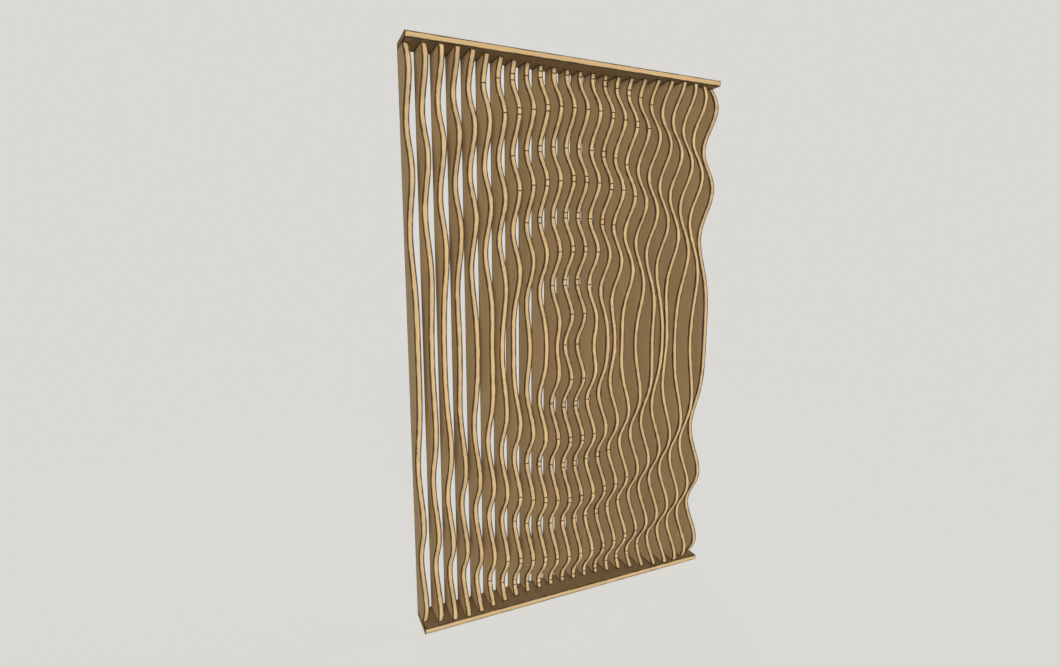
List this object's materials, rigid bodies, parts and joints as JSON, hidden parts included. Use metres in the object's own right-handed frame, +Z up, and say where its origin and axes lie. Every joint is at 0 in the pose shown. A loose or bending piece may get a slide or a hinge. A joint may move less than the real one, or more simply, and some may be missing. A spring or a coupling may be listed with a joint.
{
  "type": "wooden lattice panel",
  "caption": "Upright wooden slats on edge between a top and a bottom board, their front edges cut in waves that draw round ripples",
  "frame": {"origin": "middle of the underside of the bottom board", "axes": "+Z up along the slats, +X to the right along the boards seen from the rippled front, +Y from the rippled front to the straight back"},
  "size_m": [1.216, 0.12, 2],
  "materials": {
    "boards": "oiled",
    "slats": "oiled",
    "dowels": "raw",
    "screws": "zinc plated"
  },
  "bodies": {
    "root": {"top_board": "boards", "bottom_board": "boards", "slat_01": "slats", "slat_02": "slats", "slat_03": "slats", "slat_04": "slats", "slat_05": "slats", "slat_06": "slats", "slat_07": "slats", "slat_08": "slats", "slat_09": "slats", "slat_10": "slats", "slat_11": "slats", "slat_12": "slats", "slat_13": "slats", "slat_14": "slats", "slat_15": "slats", "slat_16": "slats", "slat_17": "slats", "slat_18": "slats", "slat_19": "slats", "slat_20": "slats", "slat_21": "slats", "slat_22": "slats", "slat_23": "slats", "slat_24": "slats", "top_dowels": "dowels", "bottom_dowels": "dowels", "top_screws": "screws", "bottom_screws": "screws"}
  },
  "joints": []
}
